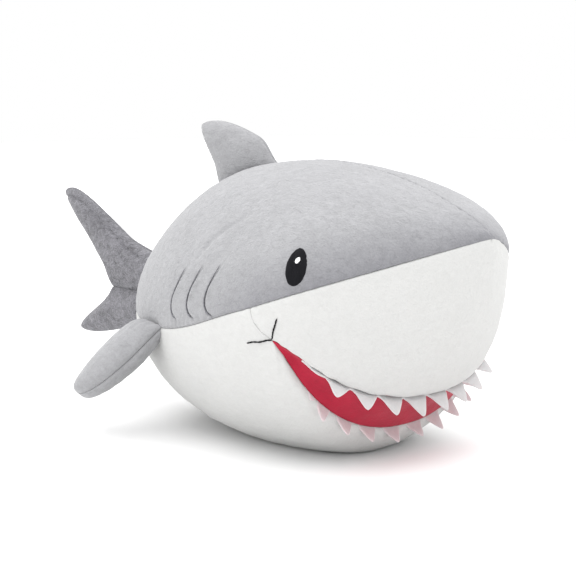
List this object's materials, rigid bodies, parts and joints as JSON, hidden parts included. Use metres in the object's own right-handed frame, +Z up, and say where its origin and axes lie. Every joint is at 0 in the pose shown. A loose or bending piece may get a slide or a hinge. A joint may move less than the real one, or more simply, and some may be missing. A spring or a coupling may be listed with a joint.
{
  "type": "plush shark",
  "caption": "Stuffed toy shark: sewn plush panels over soft stuffing, felt teeth, embroidered eyes, and soft fins and tail that flex at their sewn roots.",
  "frame": {"origin": "on the floor under the belly, in the middle of the flat place that it rests on", "axes": "+Z up, the nose points along -Y, the shark's own right side is -X"},
  "size_m": [0.235, 0.4294, 0.2029],
  "materials": {
    "plush_grey": "short-pile minky plush, soft sheen",
    "plush_white": "short-pile minky plush, soft sheen",
    "lining_crimson": "brushed fabric, matt",
    "felt_white": "matt felt",
    "thread_black": "satin stitch embroidery, silky",
    "thread_grey": "stitched line, matt",
    "thread_white": "satin stitch embroidery, silky",
    "stuffing": "polyester fibre filling"
  },
  "bodies": {
    "torso": {"body_stuffing": "stuffing", "back_panel_right": "plush_grey", "back_panel_left": "plush_grey", "muzzle_panel": "plush_white", "belly_panel": "plush_white", "mouth_lining": "lining_crimson", "upper_teeth": "felt_white", "lower_teeth": "felt_white", "eye_right": "thread_black", "eye_left": "thread_black", "eye_glint_right": "thread_white", "eye_glint_left": "thread_white", "gill_stitches_right": "thread_grey", "gill_stitches_left": "thread_grey", "mouth_corner_stitches_right": "thread_black", "mouth_corner_stitches_left": "thread_black"},
    "dorsal_fin": {"dorsal_fin_right_panel": "plush_grey", "dorsal_fin_left_panel": "plush_grey", "dorsal_fin_stuffing": "stuffing"},
    "pectoral_fin_right": {"pectoral_fin_right_upper_panel": "plush_grey", "pectoral_fin_right_lower_panel": "plush_grey", "pectoral_fin_right_stuffing": "stuffing"},
    "pectoral_fin_left": {"pectoral_fin_left_upper_panel": "plush_grey", "pectoral_fin_left_lower_panel": "plush_grey", "pectoral_fin_left_stuffing": "stuffing"},
    "tail_fin": {"tail_upper_lobe_right_panel": "plush_grey", "tail_upper_lobe_left_panel": "plush_grey", "tail_upper_lobe_stuffing": "stuffing", "tail_lower_lobe_right_panel": "plush_grey", "tail_lower_lobe_left_panel": "plush_grey", "tail_lower_lobe_stuffing": "stuffing"}
  },
  "joints": [
    {"name": "dorsal_fin_flex", "type": "hinge", "parent": "torso", "child": "dorsal_fin", "pos_m": [0, 0.058, 0.17225], "axis": [0, 0.9399, -0.3414], "range_deg": [-30, 30], "stiffness_Nm_per_rad": 0.02},
    {"name": "pectoral_fin_right_flex", "type": "hinge", "parent": "torso", "child": "pectoral_fin_right", "pos_m": [-0.08169, 0.06387, 0.07151], "axis": [0.3108, 0.9465, -0.0868], "range_deg": [-5, 50], "stiffness_Nm_per_rad": 0.03},
    {"name": "pectoral_fin_left_flex", "type": "hinge", "parent": "torso", "child": "pectoral_fin_left", "pos_m": [0.08169, 0.06387, 0.07151], "axis": [0.3108, -0.9465, 0.0868], "range_deg": [-5, 50], "stiffness_Nm_per_rad": 0.03},
    {"name": "tail_fin_flex", "type": "hinge", "parent": "torso", "child": "tail_fin", "pos_m": [0, 0.1468, 0.0765], "axis": [0, 0, 1], "range_deg": [-30, 30], "stiffness_Nm_per_rad": 0.05}
  ]
}
